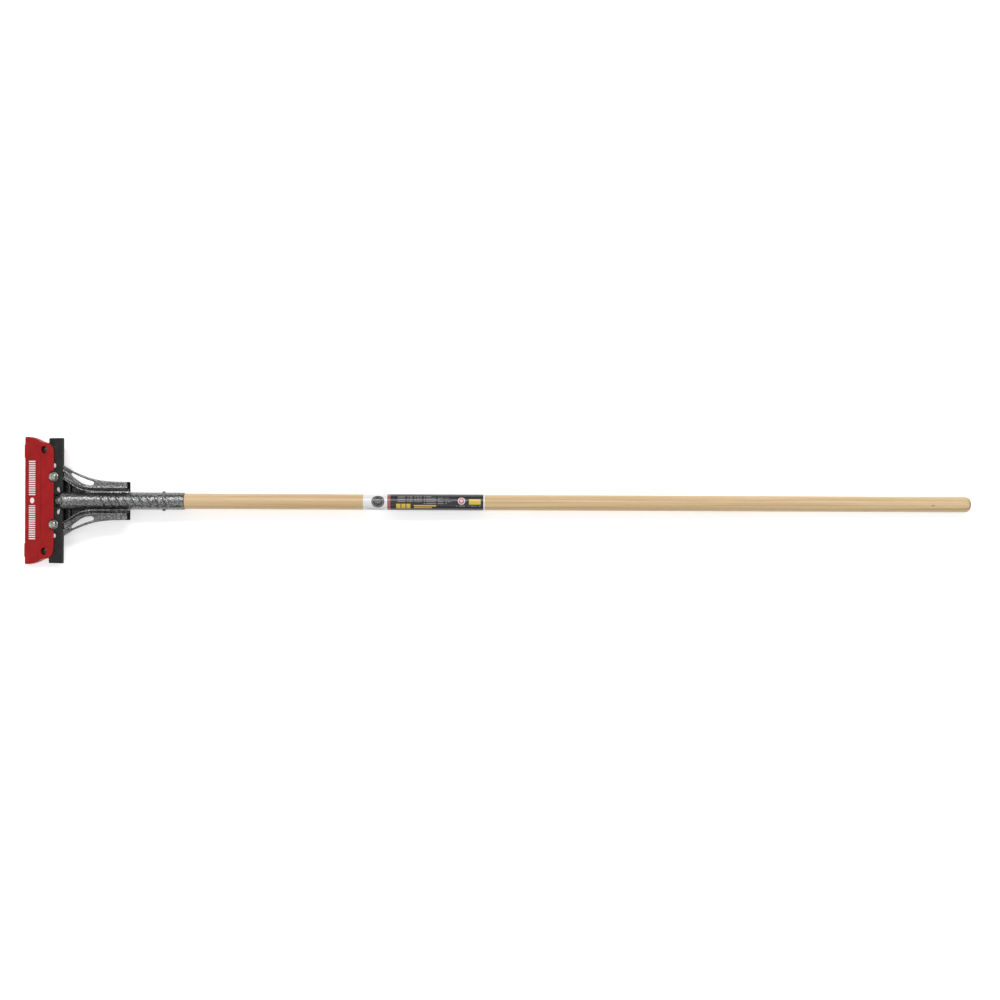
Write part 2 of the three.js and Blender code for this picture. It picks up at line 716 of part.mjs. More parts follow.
// ---------------------------------------------------------------- assembly
toolFrame.add(
  piece("socket_casting", socketCasting(), HAMMERTONE),
  piece("handle", handle(), ASH),
  piece("handle_rivet", handleRivet(), HAMMERTONE),
  piece("handle_label", label(), LABEL_FILM),
);
headFrame.add(
  piece("clamp_bar", clampBar(), BLACK_PAINT),
  piece("blade", blade(), BLADE_STEEL),
  piece("guard_upper", guardUpper(), RED_PLASTIC),
  piece("guard_lower", guardLower(), RED_PLASTIC),
);
for (const side of SIDES) {
  const name = SIDE_NAME[side];
  headFrame.add(
    piece(`blade_bolt_${name}`, bolt(side), ZINC),
    piece(`top_washer_${name}`, washer(side, TOP_WASHER_LOW), ZINC),
    piece(`under_washer_${name}`, washer(side, UNDER_WASHER_HIGH - WASHER_THICKNESS), ZINC),
    piece(`lock_nut_${name}`, lockNut(side), ZINC),
    piece(`nut_insert_${name}`, nutInsert(side), NYLON),
    piece(`hinge_strap_${name}`, hingeStrap(side), RED_PLASTIC),
    piece(`snap_stud_${name}`, snapStud(side), BLACK_PLASTIC),
  );
}

// ---------------------------------------------------------------- resting pose
// The tool lies on the guard's lower front edge and on the end of its handle.
const frontEdge = new THREE.Vector3(GUARD_FRONT, 0, GUARD_UNDER_BOTTOM).applyMatrix4(headFrame.matrix);
const handleFoot = new THREE.Vector3(HANDLE_END_X - HANDLE_ROUND, 0, -HANDLE_RADIUS);
const footing = handleFoot.sub(frontEdge);
toolFrame.rotation.y = Math.atan(footing.z / footing.x);

const scraper = new THREE.Group();
scraper.add(toolFrame);
const extent = new THREE.Box3().setFromObject(scraper, true);
const middle = extent.getCenter(new THREE.Vector3());
toolFrame.position.set(-middle.x, 0, -extent.min.z);

export default scraper;
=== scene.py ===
import json
import math

import bmesh
import bpy
from mathutils import Matrix, Vector


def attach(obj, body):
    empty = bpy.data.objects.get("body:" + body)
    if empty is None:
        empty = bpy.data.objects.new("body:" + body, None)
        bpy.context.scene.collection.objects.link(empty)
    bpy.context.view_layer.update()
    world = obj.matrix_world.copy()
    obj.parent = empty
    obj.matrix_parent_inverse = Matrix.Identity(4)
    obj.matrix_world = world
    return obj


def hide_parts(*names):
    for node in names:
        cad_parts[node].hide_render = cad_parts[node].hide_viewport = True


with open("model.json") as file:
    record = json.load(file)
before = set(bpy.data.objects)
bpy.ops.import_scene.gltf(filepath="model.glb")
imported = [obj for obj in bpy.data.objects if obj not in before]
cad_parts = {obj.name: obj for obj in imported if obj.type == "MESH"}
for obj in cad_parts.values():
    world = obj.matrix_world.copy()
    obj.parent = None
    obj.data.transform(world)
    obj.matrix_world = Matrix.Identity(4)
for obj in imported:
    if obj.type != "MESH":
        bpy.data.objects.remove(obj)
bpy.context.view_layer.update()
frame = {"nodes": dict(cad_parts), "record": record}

MM = 0.001
SIDES = {"left": 1, "right": -1}


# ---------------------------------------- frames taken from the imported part
def joint(name):
    return next(j for j in frame["record"]["behaviour"]["joints"] if j["name"] == name)


def mount(name):
    return next(m for m in frame["record"]["mounts"] if m["name"] == name)


def placed(origin, along):
    """A frame whose x runs along the given direction, with y across the tool."""
    x_axis = Vector(along).normalized()
    y_axis = Vector((0, 1, 0))
    z_axis = x_axis.cross(y_axis).normalized()
    rotation = Matrix((x_axis, y_axis, z_axis)).transposed().to_4x4()
    return Matrix.Translation(Vector(origin)) @ rotation


HINGE_U, HINGE_W = -60 * MM, -6.3 * MM  # the guard's hinge line in the head frame
AXIS_RISE = 6 * MM  # tube axis above the clamp bar's face at the bolt line
HEAD_PITCH = math.radians(20)  # the head's tilt against the handle

draw_off = -Vector(joint("guard_draw_off")["axis"])
hinge_frame = placed(joint("guard_lid_hinge")["pos_m"], draw_off)
HEAD = hinge_frame @ Matrix.Translation((-HINGE_U, 0, -HINGE_W))
TOOL = HEAD @ Matrix.Rotation(HEAD_PITCH, 4, "Y") @ Matrix.Translation((0, 0, AXIS_RISE))
HANDLE_END = (TOOL.inverted() @ Vector(mount("handle_butt")["pos_m"])).x / MM


def extent(node, base=HEAD):
    """The lowest and highest corner of a CAD node in a frame, in millimetres."""
    inverse = base.inverted()
    points = [inverse @ vertex.co / MM for vertex in frame["nodes"][node].data.vertices]
    low = Vector([min(point[axis] for point in points) for axis in range(3)])
    high = Vector([max(point[axis] for point in points) for axis in range(3)])
    return low, high


WING_END = 122.3  # rear end of the wings, along the tube
TUBE_SIDE = 13.9  # anything further from the axis than this is a wing or a web
WING_FOOT = 15.6  # the wings' end faces lie further out than this
BOLT_Y = sum(corner.y for corner in extent("top_washer_left")) / 2
HEX_ACROSS_FLATS = 11.1
HEX_HEAD_HEIGHT = 4.8
BOLT_SHANK = 3.05
WASHER_HOLE = 3.5
LABEL_START, LABEL_END = (corner.x for corner in extent("handle_label", TOOL))
LABEL_RADIUS = extent("handle_label", TOOL)[1].z
LABEL_THICKNESS = 0.25  # thickness of the label


# ---------------------------------------- node materials
class Surface:
    """A Principled material whose pattern is drawn in the head frame or the tool frame."""

    def __init__(self, name, base, metallic=0.0, coat=0.0, coat_roughness=0.1, specular=0.5):
        self.material = bpy.data.materials.new(name)
        self.material.use_nodes = True
        self.nodes = self.material.node_tree.nodes
        self.shader = self.nodes["Principled BSDF"]
        self.shader.inputs["Metallic"].default_value = metallic
        self.shader.inputs["Coat Weight"].default_value = coat
        self.shader.inputs["Coat Roughness"].default_value = coat_roughness
        self.shader.inputs["Specular IOR Level"].default_value = specular
        coordinates = self.nodes.new("ShaderNodeTexCoord")
        mapping = self.nodes.new("ShaderNodeMapping")
        mapping.vector_type = "TEXTURE"
        mapping.inputs["Location"].default_value = base.to_translation()
        mapping.inputs["Rotation"].default_value = base.to_euler()
        self.join(coordinates.outputs["Object"], mapping.inputs["Vector"])
        self.place = mapping.outputs["Vector"]

    def join(self, source, target):
        self.material.node_tree.links.new(source, target)

    def give(self, target, value):
        if isinstance(value, bpy.types.NodeSocket):
            self.join(value, target)
        else:
            target.default_value = value

    def math(self, operation, first, second=0.0, clamp=False):
        node = self.nodes.new("ShaderNodeMath")
        node.operation = operation
        node.use_clamp = clamp
        for target, value in zip(node.inputs, (first, second)):
            self.give(target, value)
        return node.outputs[0]

    def axes(self):
        node = self.nodes.new("ShaderNodeSeparateXYZ")
        self.join(self.place, node.inputs[0])
        return node.outputs

    def stretched(self, scale):
        node = self.nodes.new("ShaderNodeMapping")
        node.inputs["Scale"].default_value = scale
        self.join(self.place, node.inputs["Vector"])
        return node.outputs[0]

    def noise(self, scale, detail=3.0, roughness=0.5, at=None, distortion=0.0):
        node = self.nodes.new("ShaderNodeTexNoise")
        self.join(at or self.place, node.inputs["Vector"])
        node.inputs["Scale"].default_value = scale
        node.inputs["Detail"].default_value = detail
        node.inputs["Roughness"].default_value = roughness
        node.inputs["Distortion"].default_value = distortion
        return node.outputs["Fac"]

    def cells(self, scale, smoothness):
        node = self.nodes.new("ShaderNodeTexVoronoi")
        node.feature = "SMOOTH_F1"
        self.join(self.place, node.inputs["Vector"])
        node.inputs["Scale"].default_value = scale
        node.inputs["Smoothness"].default_value = smoothness
        return node.outputs["Distance"]

    def ramp(self, factor, *stops):
        node = self.nodes.new("ShaderNodeValToRGB")
        self.join(factor, node.inputs[0])
        elements = node.color_ramp.elements
        while len(elements) < len(stops):
            elements.new(0.5)
        for element, (position, color) in zip(elements, stops):
            element.position = position
            element.color = (*color, 1)
        return node.outputs["Color"]

    def span(self, value, low, high, to_low=0.0, to_high=1.0):
        node = self.nodes.new("ShaderNodeMapRange")
        for target, number in zip(node.inputs, (value, low, high, to_low, to_high)):
            self.give(target, number)
        return node.outputs[0]

    def mix(self, factor, first, second):
        node = self.nodes.new("ShaderNodeMix")
        node.data_type = "RGBA"
        color_inputs = (node.inputs[6], node.inputs[7])
        self.give(node.inputs[0], factor)
        for target, value in zip(color_inputs, (first, second)):
            self.give(target, (*value, 1) if isinstance(value, tuple) else value)
        return node.outputs[2]

    def worn_edges(self, low, high):
        """One where the surface is sharply convex."""
        geometry = self.nodes.new("ShaderNodeNewGeometry")
        return self.span(geometry.outputs["Pointiness"], low, high)

    def bump(self, height, distance, strength=1.0, under=None):
        node = self.nodes.new("ShaderNodeBump")
        node.inputs["Strength"].default_value = strength
        node.inputs["Distance"].default_value = distance
        self.join(height, node.inputs["Height"])
        if under:
            self.join(under, node.inputs["Normal"])
        return node.outputs[0]

    def band(self, value, low, high, soft):
        """One between two places in millimetres, with soft edges."""
        rise = self.span(value, (low - soft) * MM, (low + soft) * MM)
        fall = self.span(value, (high - soft) * MM, (high + soft) * MM, 1, 0)
        return self.math("MULTIPLY", rise, fall)

    def disc(self, first, second, at_first, at_second, radius):
        """One inside a circle, in millimetres."""
        across = self.math("POWER", self.math("SUBTRACT", first, at_first * MM), 2.0)
        up = self.math("POWER", self.math("SUBTRACT", second, at_second * MM), 2.0)
        distance = self.math("SQRT", self.math("ADD", across, up))
        soft = 0.12
        return self.span(distance, (radius - soft) * MM, (radius + soft) * MM, 1, 0)

    def finish(self, color, roughness, normal=None):
        self.join(color, self.shader.inputs["Base Color"])
        self.give(self.shader.inputs["Roughness"], roughness)
        if normal:
            self.join(normal, self.shader.inputs["Normal"])
        return self.material


def hammertone():
    """Mottled hammertone paint, with painted shade in the pockets beside the tube and on the flat
    ends of the wings, which are painted near black.
    """
    s = Surface("hammertone_grey", TOOL, specular=0.0)
    along, across, height = s.axes()
    dimples = s.cells(560, 0.5)
    fine = s.noise(900, 3, 0.6)
    patches = s.noise(380, 3, 0.62)
    tone = s.math("ADD", s.math("MULTIPLY", dimples, 0.5), s.math("MULTIPLY", patches, 0.7))
    color = s.ramp(
        tone,
        (0.36, (0.048, 0.049, 0.05)),
        (0.54, (0.135, 0.138, 0.14)),
        (0.74, (0.33, 0.33, 0.325)),
    )
    color = s.mix(s.span(s.noise(18, 3), 0.4, 0.7, 0, 0.3), color, (0.08, 0.08, 0.077))
    spread = s.math("ABSOLUTE", across)
    beside_tube = s.math("GREATER_THAN", spread, TUBE_SIDE * MM)
    # painted shade: the pockets beside the tube grow darker, nearly black, lower down
    pocket_shade = s.math("MULTIPLY", s.span(height, -1.5 * MM, -6 * MM, 0, 0.8), beside_tube)
    color = s.mix(pocket_shade, color, (0.01, 0.01, 0.01))
    # painted shade: the wings' flat end faces are painted near black and made non-metallic so that
    # they stay dark
    past_end = s.math("GREATER_THAN", along, (WING_END - 0.7) * MM)
    end_face_shade = s.math("MULTIPLY", past_end, s.math("GREATER_THAN", spread, WING_FOOT * MM))
    color = s.mix(s.math("MULTIPLY", end_face_shade, 0.95), color, (0.004, 0.004, 0.004))
    rough = s.span(patches, 0.3, 0.7, 0.24, 0.36)
    metallic = s.span(end_face_shade, 0, 1, 0.92, 0)
    s.give(s.shader.inputs["Metallic"], metallic)
    normal = s.bump(dimples, 0.0004, 0.7)
    return s.finish(color, rough, s.bump(fine, 0.00015, 0.5, normal))


def bar_black():
    s = Surface("bar_black", HEAD, metallic=0.1, specular=0.35)
    grain = s.noise(1400, 3, 0.6)
    blotches = s.noise(90, 5, 0.65)
    chips = s.math("MULTIPLY", s.worn_edges(0.56, 0.66), s.span(s.noise(260, 4), 0.45, 0.62))
    color = s.ramp(blotches, (0.3, (0.007, 0.0072, 0.0075)), (0.7, (0.026, 0.026, 0.027)))
    color = s.mix(s.span(s.noise(700, 2), 0.66, 0.74, 0, 0.5), color, (0.12, 0.12, 0.12))
    color = s.mix(chips, color, (0.22, 0.22, 0.22))
    rough = s.span(blotches, 0.3, 0.7, 0.38, 0.62)
    return s.finish(color, rough, s.bump(grain, 0.00025, 0.7, s.bump(blotches, 0.0004, 0.4)))


def guard_red():
    """Moulded red plastic with a plain printed band of ticks and a dot beside the cutting edge."""
    s = Surface("guard_red", HEAD, specular=0.25)
    along, across, height = s.axes()
    mottle = s.noise(60, 4, 0.6)
    color = s.ramp(mottle, (0.3, (0.29, 0.006, 0.007)), (0.7, (0.37, 0.010, 0.010)))
    skin_slope, skin_middle = 0.1577, 5.23 * MM  # the line half way through the lid's sloping skin
    over_slope = s.math("SUBTRACT", height, s.math("MULTIPLY", along, skin_slope))
    outer_face = s.math("GREATER_THAN", over_slope, skin_middle)
    # painted shade: a darker line along the lid's crease on its outer face
    crease_shade = s.math("MULTIPLY", s.band(along, -25.4, -23.2, 0.8), s.band(across, -60, 74, 2))
    crease_shade = s.math("MULTIPLY", crease_shade, outer_face)
    color = s.mix(s.math("MULTIPLY", crease_shade, 0.45), color, (0.16, 0.005, 0.005))
    color = s.mix(s.worn_edges(0.56, 0.7), color, (0.50, 0.05, 0.045))
    pitch, origin = 3.6 * MM, 1.0
    cell = s.math("PINGPONG", s.math("ADD", across, origin), pitch / 2)
    ticks = s.math("GREATER_THAN", cell, 0.85 * MM)
    row = s.band(along, -49.8, -35.8, 0.15)
    halves = s.math("ADD", s.band(across, 8, 66, 0.15), s.band(across, -64, -8, 0.15), clamp=True)
    print_mask = s.math("MULTIPLY", s.math("MULTIPLY", ticks, row), halves)
    dot = s.disc(along, across, -42.6, 0, 4.6)
    ink = s.math("MULTIPLY", s.math("ADD", print_mask, dot, clamp=True), outer_face)
    ink = s.math("MULTIPLY", ink, s.span(s.noise(900, 3, 0.6), 0.27, 0.34))
    color = s.mix(ink, color, (0.86, 0.82, 0.81))
    rough = s.span(mottle, 0.3, 0.7, 0.34, 0.46)
    texture = s.noise(1500, 2, 0.5)
    return s.finish(color, rough, s.bump(texture, 0.00012, 0.6, s.bump(mottle, 0.0006, 0.25)))


def ash_wood():
    s = Surface("ash_wood", TOOL, coat=0.12, coat_roughness=0.25, specular=0.3)
    along, across = s.axes()[:2]
    drift = s.noise(3.0, 2, 0.5, s.stretched((1.2, 9, 9)))
    rings = s.noise(1.0, 3, 0.55, s.stretched((2.2, 330, 150)), 0.6)
    pores = s.noise(1.0, 3, 0.7, s.stretched((26, 1900, 1900)))
    flecks = s.noise(1.0, 2, 0.6, s.stretched((60, 900, 900)))
    color = s.ramp(
        rings,
        (0.30, (0.44, 0.295, 0.145)),
        (0.46, (0.60, 0.435, 0.24)),
        (0.62, (0.68, 0.51, 0.30)),
    )
    color = s.mix(s.span(drift, 0.35, 0.65, 0, 0.45), color, (0.57, 0.385, 0.19))
    color = s.mix(s.span(pores, 0.56, 0.72, 0, 0.45), color, (0.33, 0.20, 0.09))
    color = s.mix(s.span(flecks, 0.62, 0.75, 0, 0.25), color, (0.75, 0.6, 0.4))
    squeeze, knot_x = 0.45, HANDLE_END - 64
    knot = s.disc(s.math("MULTIPLY", along, squeeze), across, squeeze * knot_x, -2, 1.3)
    color = s.mix(s.math("MULTIPLY", knot, 0.55), color, (0.22, 0.11, 0.05))
    # darker at the rounded end: partly the wood's own end grain, partly painted shade at the rim
    end_grain_and_shade = s.span(along, (HANDLE_END - 6) * MM, (HANDLE_END - 1) * MM, 0, 0.85)
    color = s.mix(end_grain_and_shade, color, (0.10, 0.065, 0.035))
    rough = s.span(pores, 0.4, 0.7, 0.32, 0.5)
    return s.finish(color, rough, s.bump(pores, 0.00012, 0.6, s.bump(rings, 0.00015, 0.4)))


def label_film():
    """Printed film: a white panel, a warm strip, then a dark panel with plain bars and blocks."""
    s = Surface("label_film", TOOL, coat=0.25, coat_roughness=0.2, specular=0.35)
    along, across, height = s.axes()
    angle = s.math("ARCTAN2", across, height)
    arc = s.math("MULTIPLY", angle, LABEL_RADIUS * MM)

    def block(from_x, to_x, from_y, to_y):
        soft = 0.12
        return s.math("MULTIPLY", s.band(along, from_x, to_x, soft), s.band(arc, from_y, to_y, soft))

    def rings(color, centre_x, centre_y, *steps):
        """Discs laid one on another, from the largest down."""
        for radius, tint in steps:
            color = s.mix(s.disc(along, arc, centre_x, centre_y, radius), color, tint)
        return color

    white, black, grey = (0.72, 0.72, 0.72), (0.022, 0.021, 0.025), (0.27, 0.26, 0.26)
    yellow, strip_red, badge_black = (0.62, 0.44, 0.05), (0.34, 0.10, 0.09), (0.045, 0.04, 0.042)
    pale, ring_red = (0.62, 0.58, 0.58), (0.50, 0.09, 0.10)
    dark_from, border = LABEL_START + 44, LABEL_END - 2.4
    strip_width = 5
    badge_x, badge_y = LABEL_START + 24, 1
    row_height = 1.1
    color = s.mix(s.band(along, dark_from, border, 0.1), white, black)
    color = s.mix(s.band(along, dark_from - strip_width, dark_from, 0.1), color, strip_red)
    badge = ((10.5, badge_black), (8.8, (0.33, 0.32, 0.33)), (8.0, badge_black))
    color = rings(color, badge_x, badge_y, *badge)
    for row in (-1.6, 1, 3.6):
        half = 6.2 - abs(row - badge_y) * 0.8
        color = s.mix(block(badge_x - half, badge_x + half, row, row + row_height), color, grey)
    for from_x, to_x, row in ((6, 34, -13.2), (10, 30, -15.6)):
        line = block(LABEL_START + from_x, LABEL_START + to_x, row, row + row_height)
        color = s.mix(line, color, grey)
    dashes = s.math("GREATER_THAN", s.noise(1.0, 0, 0.5, s.stretched((260, 1, 1))), 0.47)
    lines = [(9, 66, 9.6, 10.7), (9, 94, 6.6, 7.7), (9, 80, 3.6, 4.7), (9, 99, 0.6, 1.7)]
    lines += [(54, 92, -2.6, -1.5), (106, 122, -6.8, -5.7), (127, 146, -6.8, -5.7)]
    for from_x, to_x, low, high in lines:
        line = block(dark_from + from_x, dark_from + to_x, low, high)
        color = s.mix(s.math("MULTIPLY", line, dashes), color, grey)
    block_low, block_high, gap_width = -11.5, -2.5, 1.4
    blocks = [(9.5, 32.5, block_low, block_high), (38, 74, -7.2, -4.6)]
    blocks += [(38, 67, -10.6, -8.6), (127, 146, -3.5, 5.5)]
    for from_x, to_x, low, high in blocks:
        color = s.mix(block(dark_from + from_x, dark_from + to_x, low, high), color, yellow)
    for from_x in (16.5, 24.5):
        gap = block(dark_from + from_x, dark_from + from_x + gap_width, block_low, block_high)
        color = s.mix(gap, color, black)
    color = rings(color, dark_from + 115, 2.2, (6, pale), (4.4, ring_red), (2.1, pale))
    fine = s.noise(500, 3, 0.6)
    seam = s.span(s.math("ABSOLUTE", arc), 38.5 * MM, 39.2 * MM)
    color = s.mix(s.math("MULTIPLY", seam, 0.5), color, (0.3, 0.29, 0.28))
    rough = s.span(fine, 0.3, 0.7, 0.24, 0.34)
    return s.finish(color, rough, s.bump(s.noise(220, 3), 0.0002, 0.35))


def steel():
    """Ground steel with fine streaks running back from the edge."""
    s = Surface("blade_steel", HEAD, metallic=1.0)
    streaks = s.noise(1.0, 3, 0.6, s.stretched((14, 1500, 60)))
    blotches = s.noise(140, 4, 0.6)
    tone = s.math("ADD", s.math("MULTIPLY", streaks, 0.6), s.math("MULTIPLY", blotches, 0.4))
    color = s.ramp(tone, (0.34, (0.36, 0.365, 0.37)), (0.64, (0.62, 0.63, 0.64)))
    rough = s.span(blotches, 0.3, 0.7, 0.24, 0.42)
    return s.finish(color, rough, s.bump(streaks, 0.00006, 0.6))


def zinc():
    """Zinc plating, with a painted shade ring on the washers between the bolt head and the washer's
    rim.
    """
    s = Surface("fastener_zinc", HEAD, metallic=1.0)
    along, across = s.axes()[:2]
    spread = s.math("ABSOLUTE", across)
    grain = s.noise(900, 4, 0.6)
    blotches = s.noise(240, 4, 0.6)
    tone = s.math("ADD", s.math("MULTIPLY", grain, 0.4), s.math("MULTIPLY", blotches, 0.6))
    color = s.ramp(tone, (0.36, (0.30, 0.295, 0.27)), (0.64, (0.80, 0.79, 0.74)))
    # painted shade: a dark ring on the washer round the bolt head, standing in for its contact
    # shadow
    under_head = s.disc(along, spread, 0, BOLT_Y, 6.5)
    inside_rim = s.disc(along, spread, 0, BOLT_Y, 7.3)
    washer_ring_shade = s.math("SUBTRACT", inside_rim, under_head)
    color = s.mix(s.math("MULTIPLY", washer_ring_shade, 0.92), color, (0.03, 0.03, 0.028))
    rough = s.span(blotches, 0.3, 0.7, 0.2, 0.4)
    return s.finish(color, rough, s.bump(blotches, 0.0003, 0.5, s.bump(grain, 0.00005, 0.5)))


def stud_black():
    s = Surface("stud_black", HEAD, specular=0.5, coat=0.2, coat_roughness=0.05)
    marks = s.noise(500, 3, 0.6)
    color = s.ramp(marks, (0.3, (0.003, 0.003, 0.003)), (0.7, (0.009, 0.008, 0.008)))
    return s.finish(color, s.span(marks, 0.3, 0.7, 0.14, 0.28), s.bump(marks, 0.00008, 0.5))


def nylon():
    s = Surface("nylon_insert", HEAD)
    marks = s.noise(700, 3, 0.6)
    color = s.ramp(marks, (0.3, (0.55, 0.55, 0.51)), (0.7, (0.68, 0.68, 0.64)))
    return s.finish(color, s.span(marks, 0.3, 0.7, 0.45, 0.6), s.bump(marks, 0.0001, 0.5))


MATERIALS = {
    "hammertone_grey": hammertone(),
    "bar_black": bar_black(),
    "guard_red": guard_red(),
    "ash_wood": ash_wood(),
    "label_film": label_film(),
    "blade_steel": steel(),
    "fastener_zinc": zinc(),
    "stud_black": stud_black(),
    "nylon_insert": nylon(),
}


# ---------------------------------------- mesh helpers
def smooth_shade(obj, angle=40):
    """Smooth shading with creases kept where faces meet sharply."""
    mesh = obj.data
    mesh.polygons.foreach_set("use_smooth", [True] * len(mesh.polygons))
    edges = bmesh.new()
    edges.from_mesh(mesh)
    limit = math.radians(angle)
    for edge in edges.edges:
        edge.smooth = not (len(edge.link_faces) == 2 and edge.calc_face_angle(0) > limit)
    edges.to_mesh(mesh)
    edges.free()


def register(obj, body, slot, *nodes):
    obj.data.materials.clear()
    obj.data.materials.append(MATERIALS[slot])
    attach(obj, body)
    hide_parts(*nodes)


def new_object(name, mesh):
    obj = bpy.data.objects.new(name, mesh)
    bpy.context.scene.collection.objects.link(obj)
    return obj


def lathe(name, profile, base, sides=96):
    """A body turned about the base frame's x axis, from [position, radius] points."""
    made = bmesh.new()
    rings = []
    for along, radius in profile:
        if radius == 0:
            rings.append([made.verts.new(base @ Vector((along * MM, 0, 0)))])
            continue
        ring = []
        for i in range(sides):
            angle = 2 * math.pi * i / sides
            point = Vector((along, radius * math.cos(angle), radius * math.sin(angle))) * MM
            ring.append(made.verts.new(base @ point))
        rings.append(ring)
    closed = len(rings[0]) > 1
    pairs = list(zip(rings, rings[1:])) + ([(rings[-1], rings[0])] if closed else [])
    for first, second in pairs:
        for i in range(sides):
            k = (i + 1) % sides
            near, far = len(first), len(second)
            corners = [first[i % near], second[i % far], second[k % far], first[k % near]]
            made.faces.new(list(dict.fromkeys(corners)))
    bmesh.ops.recalc_face_normals(made, faces=made.faces)
    mesh = bpy.data.meshes.new(name)
    made.to_mesh(mesh)
    made.free()
    obj = new_object(name, mesh)
    smooth_shade(obj)
    return obj


def quarter(from_x, length, outer, inner, steps=10):
    """Points of a rounded end, from the outer radius in to the inner one."""
    turns = [i / steps * math.pi / 2 for i in range(steps + 1)]
    return [[from_x + length * math.sin(t), inner + (outer - inner) * math.cos(t)] for t in turns]


def rounded_copy(name, node, voxel, passes):
    """A CAD solid with its faceted edges rounded off, as a casting or moulding has them."""
    source = frame["nodes"][node]
    obj = new_object(name, source.data.copy())
    remesh = obj.modifiers.new("remesh", "REMESH")
    remesh.mode = "VOXEL"
    remesh.voxel_size = voxel * MM
    soften = obj.modifiers.new("soften", "SMOOTH")
    soften.factor = 0.5
    soften.iterations = passes
    evaluated = obj.evaluated_get(bpy.context.evaluated_depsgraph_get())
    mesh = bpy.data.meshes.new_from_object(evaluated)
    obj.modifiers.clear()
    obj.data = mesh
    mesh.polygons.foreach_set("use_smooth", [True] * len(mesh.polygons))
    return obj


# ---------------------------------------- pieces
def make_handle():
    """Turned handle, with many short rings so that its shading stays even along its length."""
    low, high = extent("handle", TOOL)
    start, stop, radius = low.x, high.x, high.z
    shoulder = extent("socket_casting", TOOL)[1].x + 0.3
    tenon, end_round, flat = 11.1, 9, 4.5
    body = [[start, 0], [start, tenon - 2], [start + 2, tenon], [shoulder, tenon]]
    body += [[shoulder, radius - 0.6], [shoulder + 0.25, radius - 0.15], [shoulder + 0.8, radius]]
    count = 60
    straight = stop - end_round - shoulder - 2
    body += [[shoulder + 1 + straight * i / count, radius] for i in range(1, count)]
    body += quarter(stop - end_round, end_round, radius, flat) + [[stop, 0]]
    register(lathe("wooden_handle", body, TOOL), "tool", "ash_wood", "handle")


def make_label():
    inner, outer = LABEL_RADIUS - LABEL_THICKNESS, LABEL_RADIUS
    ring = [[LABEL_START, inner], [LABEL_START, outer], [LABEL_END, outer], [LABEL_END, inner]]
    register(lathe("wrap_label", ring, TOOL, 160), "tool", "label_film", "handle_label")


def make_rivet():
    low, high = extent("handle_rivet", TOOL)
    middle = Matrix.Translation(((low.x + high.x) / 2 * MM, 0, 0))
    across = TOOL @ middle @ Matrix.Rotation(math.pi / 2, 4, "Z")
    top, rise, radius, shank = high.y, 1.6, high.z, 2.4
    seat = top - rise
    dome = [[seat, shank], [seat, radius - 0.2]]
    dome += quarter(seat + 0.2, rise - 0.2, radius, 0.4, 8) + [[top, 0]]
    half = [[-at, around] for at, around in reversed(dome)]
    rivet = lathe("cross_rivet", half + dome, across, 40)
    register(rivet, "tool", "hammertone_grey", "handle_rivet")


def upright_at(u, y):
    """A frame at a place in the head, whose x axis rises from the clamp bar."""
    place = Matrix.Translation((u * MM, y * MM, 0))
    return HEAD @ place @ Matrix.Rotation(-math.pi / 2, 4, "Y")


def make_studs():
    for name in SIDES:
        low, high = extent(f"snap_stud_{name}")
        middle = (low + high) / 2
        tip, top, radius = low.z, high.z, (high.y - low.y) / 2
        head_height, rim, shank = 3.0, 0.6, 2.2
        seat = top - head_height
        profile = [[tip, 0], [tip, shank - 0.7], [tip + 1, shank], [seat, shank]]
        profile += [[seat, radius - 0.2], [seat + 0.2, radius]]
        profile += quarter(seat + rim, head_height - rim, radius, 0.3, 12) + [[top, 0]]
        stud = lathe(f"black_stud_{name}", profile, upright_at(middle.x, middle.y), 48)
        register(stud, "guard_lid", "stud_black", f"snap_stud_{name}")


def hex_radius(angle, flats):
    return flats / 2 / math.cos((angle % (math.pi / 3)) - math.pi / 6)


def make_bolts():
    """Hexagon heads with a chamfered crown, a shallow dip in the top and a small chamfer under the
    head, on a plain shank.
    """
    flats, height, shank, sides = HEX_ACROSS_FLATS, HEX_HEAD_HEIGHT, BOLT_SHANK, 96
    crown = flats / 2 * 0.93
    for name, side in SIDES.items():
        turned = Matrix.Rotation(0.35 * side, 4, "Z")
        base = HEAD @ Matrix.Translation((0, side * BOLT_Y * MM, 0)) @ turned
        tip, top = (corner.z for corner in extent(f"blade_bolt_{name}"))
        low = top - height
        made = bmesh.new()
        turns = [2 * math.pi * i / sides for i in range(sides)]

        def ring(radius, level):
            points = [(radius(t) * math.cos(t), radius(t) * math.sin(t), level(t)) for t in turns]
            return [made.verts.new(base @ (Vector(point) * MM)) for point in points]

        def chamfer(t):
            return top - max(0.0, hex_radius(t, flats) - crown) * 0.58

        rings = [
            ring(lambda t: shank - 0.7, lambda t: tip),
            ring(lambda t: shank, lambda t: tip + 0.8),
            ring(lambda t: shank, lambda t: low),
            ring(lambda t: hex_radius(t, flats) - 0.15, lambda t: low),
            ring(lambda t: hex_radius(t, flats), lambda t: low + 0.2),
            ring(lambda t: hex_radius(t, flats), lambda t: chamfer(t) - 0.15),
            ring(lambda t: hex_radius(t, flats) - 0.12, chamfer),
            ring(lambda t: crown, lambda t: top),
            ring(lambda t: crown * 0.62, lambda t: top),
            ring(lambda t: crown * 0.56, lambda t: top - 0.3),
        ]
        for first, second in zip(rings, rings[1:]):
            for i in range(sides):
                k = (i + 1) % sides
                made.faces.new((first[i], first[k], second[k], second[i]))
        made.faces.new(rings[-1])
        made.faces.new(list(reversed(rings[0])))
        bmesh.ops.recalc_face_normals(made, faces=made.faces)
        mesh = bpy.data.meshes.new("bolt")
        made.to_mesh(mesh)
        made.free()
        obj = new_object(f"hex_bolt_{name}", mesh)
        smooth_shade(obj, 24)
        register(obj, "tool", "fastener_zinc", f"blade_bolt_{name}")


